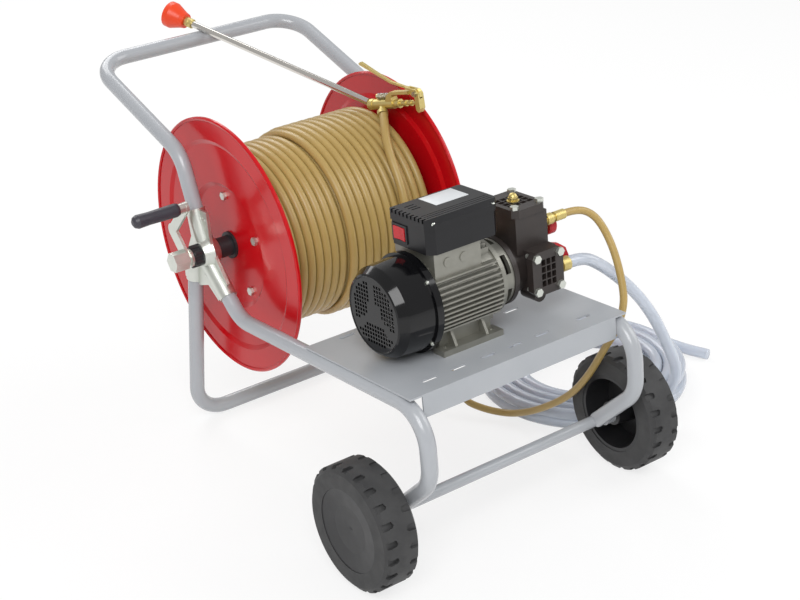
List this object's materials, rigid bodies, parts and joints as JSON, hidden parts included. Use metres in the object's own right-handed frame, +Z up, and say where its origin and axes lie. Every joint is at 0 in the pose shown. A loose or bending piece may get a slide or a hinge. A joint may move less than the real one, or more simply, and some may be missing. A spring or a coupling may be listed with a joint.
{
  "type": "wheeled electric spraying unit",
  "caption": "Two-wheeled tubular trolley that carries an electric diaphragm pump, a hand-cranked hose reel, a spray gun with a lance and a coiled suction hose.",
  "frame": {"origin": "middle of the trolley's outer box without its free hoses, on the floor", "axes": "+Z up, +X along the axle towards the pump, +Y from the wheels back to the handle"},
  "size_m": [1.0246, 1.0488, 0.6938],
  "materials": {
    "frame_paint": "gloss light grey powder coat",
    "flange_paint": "gloss red enamel on pressed sheet",
    "drum_steel": "plain steel sheet",
    "zinc_plate": "bright zinc plating",
    "bright_shaft": "turned steel",
    "black_plastic": "moulded black plastic, fine matte",
    "wheel_disc": "moulded black plastic disc",
    "tyre_rubber": "black rubber",
    "spray_hose": "tan spray hose, satin",
    "cast_aluminium": "as-cast aluminium, satin",
    "pump_nylon": "glass filled nylon casting, brown-black",
    "cover_black": "black moulding, gloss",
    "rocker_red": "red rocker",
    "red_plastic": "red moulded plastic",
    "brass": "machined brass",
    "lance_metal": "polished steel tube",
    "nozzle_orange": "orange moulded plastic",
    "clear_hose": "clear soft hose, milky"
  },
  "bodies": {
    "chassis": {"axle_bar": "zinc_plate", "bearing_left": "black_plastic", "bearing_right": "black_plastic", "bracket_bolts": "zinc_plate", "bracket_left_inner": "zinc_plate", "bracket_left_outer": "zinc_plate", "bracket_right_inner": "zinc_plate", "bracket_right_outer": "zinc_plate", "deck_plate": "frame_paint", "fan_cover": "cover_black", "gun_tail": "spray_hose", "handle_tube": "frame_paint", "inlet_fitting": "brass", "leg_tube": "frame_paint", "link_hose": "spray_hose", "motor_body": "cast_aluminium", "motor_bolts": "zinc_plate", "motor_flange": "cast_aluminium", "outlet_fitting": "brass", "pump_body": "pump_nylon", "pump_bolts": "zinc_plate", "pump_head_front": "pump_nylon", "pump_head_top": "pump_nylon", "regulator_body": "brass", "side_tube_left": "frame_paint", "side_tube_right": "frame_paint", "suction_coil": "clear_hose", "suction_hose": "clear_hose", "suction_tail": "clear_hose", "switch_bezel": "black_plastic", "switch_box": "black_plastic", "switch_lid": "black_plastic", "swivel": "brass"},
    "reel": {"reel_shaft": "bright_shaft", "crank_hub": "zinc_plate", "hub_left": "black_plastic", "hub_right": "black_plastic", "drum": "drum_steel", "flange_left": "flange_paint", "flange_right": "flange_paint", "flange_bolts": "zinc_plate", "hose_core": "spray_hose", "hose_winding": "spray_hose", "crank_arm": "zinc_plate"},
    "grip": {"crank_grip": "black_plastic"},
    "wheel_left": {"tyre_left": "tyre_rubber", "rim_left": "wheel_disc"},
    "wheel_right": {"tyre_right": "tyre_rubber", "rim_right": "wheel_disc"},
    "rotor": {"motor_shaft": "bright_shaft", "motor_fan": "cast_aluminium"},
    "rocker": {"switch_rocker": "rocker_red"},
    "knob": {"regulator_knob": "red_plastic"},
    "lever": {"bypass_lever": "red_plastic"},
    "gun": {"gun_body": "brass", "gun_ferrule": "brass", "lance_tube": "lance_metal", "trigger_pin": "zinc_plate"},
    "trigger": {"trigger_lever": "brass"},
    "nozzle": {"nozzle_cap": "nozzle_orange"}
  },
  "joints": [
    {"name": "reel_turn", "type": "hinge", "parent": "chassis", "child": "reel", "pos_m": [0.0229, 0.10466, 0.37432], "axis": [1, 0, 0], "continuous": true},
    {"name": "grip_turn", "type": "hinge", "parent": "reel", "child": "grip", "pos_m": [-0.2881, 0.09137, 0.47347], "axis": [1, 0, 0], "continuous": true},
    {"name": "wheel_left_turn", "type": "hinge", "parent": "chassis", "child": "wheel_left", "pos_m": [-0.2541, -0.41945, 0.105], "axis": [1, 0, 0], "continuous": true},
    {"name": "wheel_right_turn", "type": "hinge", "parent": "chassis", "child": "wheel_right", "pos_m": [0.2999, -0.41945, 0.105], "axis": [1, 0, 0], "continuous": true},
    {"name": "motor_turn", "type": "hinge", "parent": "chassis", "child": "rotor", "pos_m": [0.0229, -0.33308, 0.40182], "axis": [1, 0, 0], "continuous": true},
    {"name": "switch_rock", "type": "hinge", "parent": "chassis", "child": "rocker", "pos_m": [-0.0716, -0.30481, 0.50787], "axis": [0, 0.0679, 0.9977], "range_deg": [-7, 7]},
    {"name": "pressure_turn", "type": "hinge", "parent": "chassis", "child": "knob", "pos_m": [0.2029, -0.33288, 0.44891], "axis": [1, 0, 0], "range_deg": [0, 360]},
    {"name": "bypass_swing", "type": "hinge", "parent": "chassis", "child": "lever", "pos_m": [0.1869, -0.35009, 0.41701], "axis": [0, 0.9977, -0.0679], "range_deg": [0, 50]},
    {"name": "gun_lift", "type": "slide", "parent": "chassis", "child": "gun", "axis": [0, 0, 1], "range_m": [0, 0.15]},
    {"name": "trigger_pull", "type": "hinge", "parent": "gun", "child": "trigger", "pos_m": [0.17527, -0.02791, 0.60686], "axis": [-0.9943, -0.1063, 0.0072], "range_deg": [0, 8], "stiffness_Nm_per_rad": 2},
    {"name": "nozzle_twist", "type": "hinge", "parent": "gun", "child": "nozzle", "pos_m": [0.01771, 0.48757, 0.66247], "axis": [-0.33, 0.9156, 0.2299], "range_deg": [0, 360]}
  ]
}
